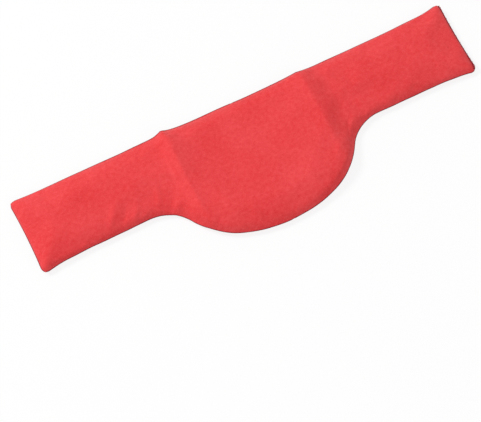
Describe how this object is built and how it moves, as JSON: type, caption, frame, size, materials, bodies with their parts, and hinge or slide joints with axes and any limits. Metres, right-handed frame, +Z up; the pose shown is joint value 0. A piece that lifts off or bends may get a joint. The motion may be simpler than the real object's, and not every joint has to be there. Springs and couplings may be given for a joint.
{
  "type": "eye pillow",
  "caption": "Long soft red band with a half-round lobe in the middle of one edge, seed filled, laid over the eyes and face, folding at two creases.",
  "frame": {"origin": "middle of the footprint's bounding box, on the surface that the pillow lies on", "axes": "+X along the band towards the end with the closing stitches, +Y towards the straight edge (the lobe points to -Y), +Z up through the front cloth"},
  "size_m": [0.46, 0.13, 0.012],
  "materials": {
    "cover_cloth": "matte brushed red cloth with a short nap",
    "pouch_cotton": "plain natural cotton",
    "seed": "brown flax seed",
    "red_thread": "twisted sewing thread",
    "pouch_thread": "twisted cotton thread"
  },
  "bodies": {
    "centre": {"cover_front_centre": "cover_cloth", "cover_back_centre": "cover_cloth", "pouch_front_centre": "pouch_cotton", "pouch_back_centre": "pouch_cotton", "seed_fill_centre": "seed", "cover_seam_thread_centre": "red_thread", "pouch_seam_thread_centre": "pouch_thread", "partition_stitch_left": "pouch_thread", "partition_stitch_right": "pouch_thread"},
    "left_arm": {"cover_front_left": "cover_cloth", "cover_back_left": "cover_cloth", "pouch_front_left": "pouch_cotton", "pouch_back_left": "pouch_cotton", "seed_fill_left": "seed", "cover_seam_thread_left": "red_thread", "pouch_seam_thread_left": "pouch_thread"},
    "right_arm": {"cover_front_right": "cover_cloth", "cover_back_right": "cover_cloth", "pouch_front_right": "pouch_cotton", "pouch_back_right": "pouch_cotton", "seed_fill_right": "seed", "cover_seam_thread_right": "red_thread", "pouch_seam_thread_right": "pouch_thread", "closing_stitch": "red_thread"}
  },
  "joints": [
    {"name": "left_arm_fold", "type": "hinge", "parent": "centre", "child": "left_arm", "pos_m": [-0.072, 0, 0.0045], "axis": [0, 1, 0], "range_deg": [-110, 110]},
    {"name": "right_arm_fold", "type": "hinge", "parent": "centre", "child": "right_arm", "pos_m": [0.072, 0, 0.0045], "axis": [0, -1, 0], "range_deg": [-110, 110]}
  ]
}
